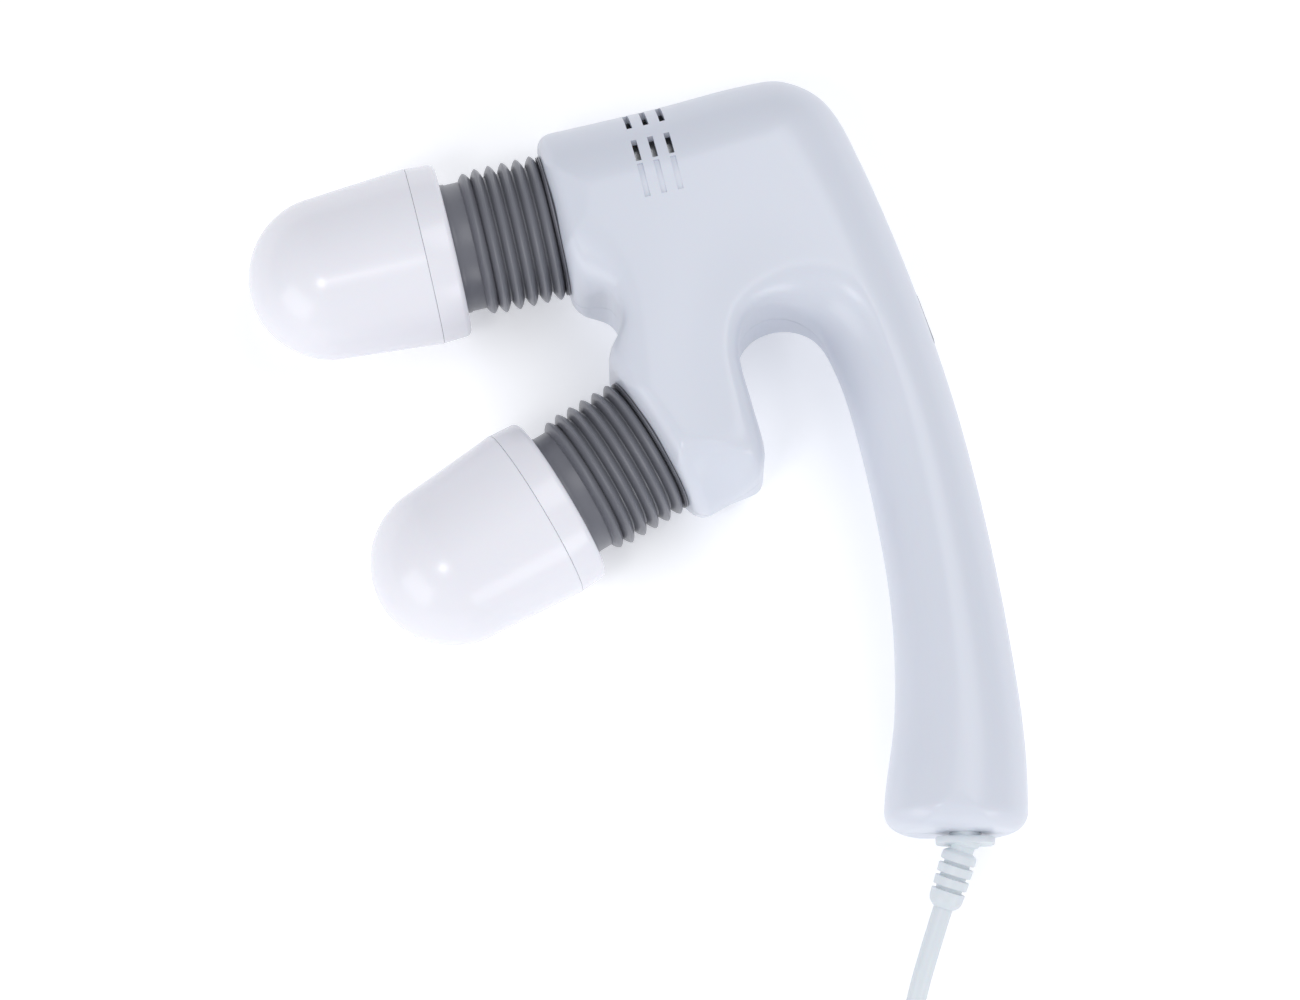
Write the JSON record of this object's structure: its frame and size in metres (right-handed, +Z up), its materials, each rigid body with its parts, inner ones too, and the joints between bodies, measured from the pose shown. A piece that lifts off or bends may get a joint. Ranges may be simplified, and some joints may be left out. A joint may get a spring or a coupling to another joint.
{
  "type": "twin-head handheld massager",
  "caption": "Corded hand-held massager: F-shaped white shell with a long curved handle, two domed heads that swing on ribbed rubber necks.",
  "frame": {"origin": "centre of the object's footprint as it lies on its side, on the surface it rests on, cord and plug left out", "axes": "+Z up out of the side it lies on, square to the parting plane; -Y from the head end along the handle to the cord exit; +X from the heads towards the spine of the handle"},
  "size_m": [0.258, 0.4661, 0.061],
  "materials": {
    "white_shell": "gloss moulded ABS",
    "grey_rubber": "satin moulded rubber",
    "steel": "zinc plated steel",
    "brass": "brass",
    "cast_alloy": "die cast alloy",
    "black_plastic": "moulded nylon",
    "winding": "enamelled copper and laminations",
    "magnet": "ferrite",
    "worm_wheel_plastic": "acetal",
    "switch_plastic": "gloss moulded plastic",
    "board": "glass laminate",
    "capacitor_film": "film capacitor case",
    "cord_jacket": "soft white PVC",
    "tie_strap": "plastic strap"
  },
  "bodies": {
    "root": {"housing_front": "white_shell", "housing_back": "white_shell", "upper_bellows": "grey_rubber", "lower_bellows": "grey_rubber", "housing_screws": "steel", "frame_base_plate": "steel", "frame_top_plate": "steel", "frame_pillars": "steel", "frame_screws": "steel", "upper_pivot_pin": "steel", "lower_pivot_pin": "steel", "upper_retaining_clip": "steel", "lower_retaining_clip": "steel", "motor_can": "steel", "motor_bracket": "steel", "motor_screws": "steel", "wheel_shaft": "steel", "upper_pivot_bush": "brass", "lower_pivot_bush": "brass", "motor_front_bush": "brass", "motor_rear_bush": "brass", "motor_brushes": "brass", "plug_pins": "brass", "motor_end_cap": "black_plastic", "switch_body": "black_plastic", "cord_clamp": "black_plastic", "field_magnets": "magnet", "circuit_board": "board", "suppression_capacitor": "capacitor_film", "strain_relief": "cord_jacket", "internal_lead": "cord_jacket", "power_cord": "cord_jacket", "cord_coil": "cord_jacket", "cord_tail": "cord_jacket", "plug_body": "cord_jacket", "cord_tie": "tie_strap"},
    "upper_head": {"upper_arm": "cast_alloy", "upper_sector_gear": "steel", "upper_hub": "black_plastic", "upper_hub_screw": "steel", "upper_collar": "white_shell", "upper_dome": "white_shell", "rod_pin": "steel"},
    "lower_head": {"lower_arm": "cast_alloy", "lower_sector_gear": "steel", "lower_hub": "black_plastic", "lower_hub_screw": "steel", "lower_collar": "white_shell", "lower_dome": "white_shell"},
    "rotor": {"motor_shaft": "steel", "armature": "winding", "commutator": "winding", "cooling_fan": "black_plastic", "worm": "steel"},
    "wheel": {"worm_wheel": "worm_wheel_plastic", "crank_pin": "steel"},
    "rod": {"connecting_rod": "steel"},
    "rocker": {"switch_rocker": "switch_plastic"}
  },
  "joints": [
    {"name": "upper_head_swing", "type": "hinge", "parent": "root", "child": "upper_head", "pos_m": [-0.00416, 0.0969, 0.0305], "axis": [0, 0, 1], "range_deg": [-6, 6], "deforming": ["upper_bellows"]},
    {"name": "lower_head_swing", "type": "hinge", "parent": "root", "child": "lower_head", "pos_m": [0.02541, 0.02844, 0.0305], "axis": [0, 0, 1], "range_deg": [-6, 6], "deforming": ["lower_bellows"]},
    {"name": "rod_swing", "type": "hinge", "parent": "upper_head", "child": "rod", "pos_m": [0.00051, 0.07745, 0.0365], "axis": [0, 0, 1], "range_deg": [-6, 6]},
    {"name": "motor_spin", "type": "hinge", "parent": "root", "child": "rotor", "pos_m": [0.01855, 0.11367, 0.0305], "axis": [0.9724, 0.2334, 0], "continuous": true},
    {"name": "wheel_spin", "type": "hinge", "parent": "root", "child": "wheel", "pos_m": [0.05595, 0.10568, 0.0305], "axis": [0, 0, 1], "continuous": true},
    {"name": "switch_rock", "type": "hinge", "parent": "root", "child": "rocker", "pos_m": [0.09092, 0.05613, 0.0305], "axis": [0, 0, 1], "range_deg": [-10, 10]}
  ],
  "couplings": [
    {"joint": "lower_head_swing", "follows": "upper_head_swing", "ratio": -1},
    {"joint": "rod_swing", "follows": "upper_head_swing", "ratio": -1},
    {"joint": "wheel_spin", "follows": "motor_spin", "ratio": 0.038462}
  ]
}
